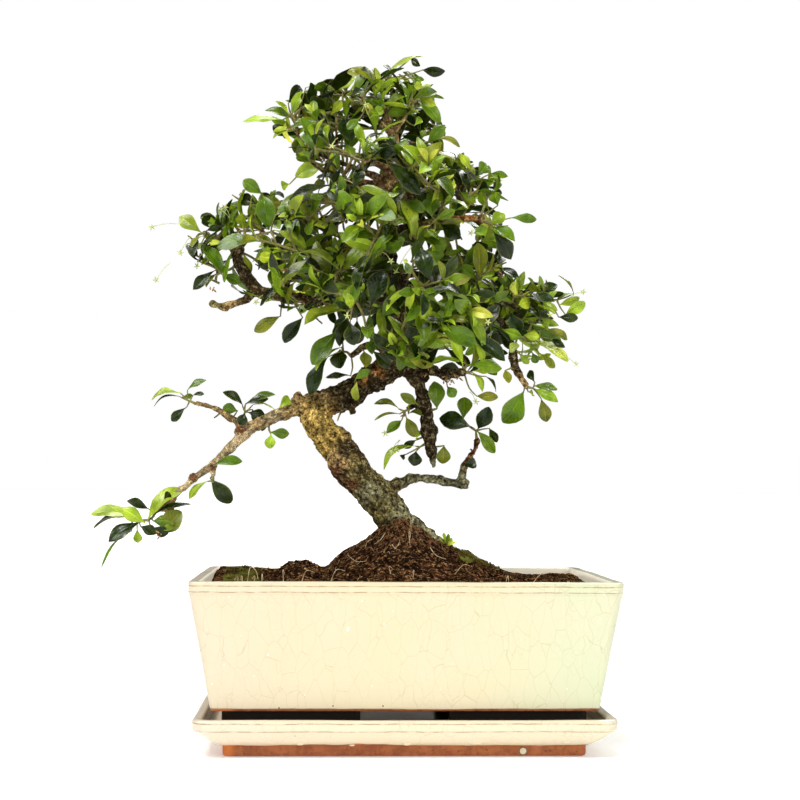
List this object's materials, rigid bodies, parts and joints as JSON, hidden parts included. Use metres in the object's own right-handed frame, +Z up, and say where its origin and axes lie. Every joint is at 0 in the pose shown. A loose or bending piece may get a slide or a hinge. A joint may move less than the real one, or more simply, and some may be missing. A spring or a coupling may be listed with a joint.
{
  "type": "potted bonsai tree",
  "caption": "Small slanting bonsai tree with glossy leaves, rooted in a soil mound in a tapered rectangular glazed pot that stands on a matching saucer.",
  "frame": {"origin": "centre of the saucer's flat underside", "axes": "+Z up, +X to the viewer's right along the pot's long side, +Y away from the viewer"},
  "size_m": [0.3256, 0.1968, 0.4472],
  "materials": {
    "cream_glaze": "gloss",
    "soil": "matte",
    "bark": "matte",
    "leaf": "satin",
    "moss": "matte",
    "drain_mesh": "matte"
  },
  "bodies": {
    "root": {"saucer": "cream_glaze", "pot": "cream_glaze", "soil": "soil", "trunk": "bark", "drain_mesh_left": "drain_mesh", "drain_mesh_right": "drain_mesh", "moss_left": "moss", "moss_right": "moss", "shoot_low_left_tip": "leaf", "shoot_low_left_pendant": "leaf", "shoot_low_left_upper": "leaf", "shoot_low_left_inner": "leaf", "shoot_low_left_under": "leaf", "shoot_under_crown": "leaf", "shoot_mid_left_far": "leaf", "shoot_mid_left_high": "leaf", "shoot_mid_left_front": "leaf", "shoot_mid_left_low": "leaf", "shoot_mid_left_under": "leaf", "shoot_mid_left_inner": "leaf", "shoot_top_left_far": "leaf", "shoot_top_left": "leaf", "shoot_top_back": "leaf", "shoot_top_peak": "leaf", "shoot_top_right": "leaf", "shoot_upper_right": "leaf", "shoot_centre_left": "leaf", "shoot_centre_right": "leaf", "shoot_right_high": "leaf", "shoot_right_upper": "leaf", "shoot_right_middle": "leaf", "shoot_right_lower": "leaf", "shoot_right_far": "leaf", "shoot_right_under": "leaf", "shoot_right_knob": "leaf", "shoot_low_right_far": "leaf", "shoot_low_right_twig": "leaf", "shoot_hanging_left": "leaf", "shoot_hanging_right": "leaf", "shoot_hanging_low": "leaf", "shoot_front_top": "leaf", "shoot_front_upper_left": "leaf", "shoot_front_upper_right": "leaf", "shoot_front_left": "leaf", "shoot_front_middle": "leaf", "shoot_front_right": "leaf", "shoot_front_low_left": "leaf", "shoot_front_low_right": "leaf", "shoot_front_low": "leaf", "shoot_front_far_left": "leaf", "shoot_back_upper_left": "leaf", "shoot_back_top": "leaf", "shoot_back_upper_right": "leaf", "shoot_back_middle": "leaf", "shoot_back_left": "leaf", "shoot_back_low_left": "leaf", "shoot_back_low": "leaf", "shoot_back_right": "leaf", "shoot_back_low_right": "leaf", "shoot_back_under": "leaf"}
  },
  "joints": []
}
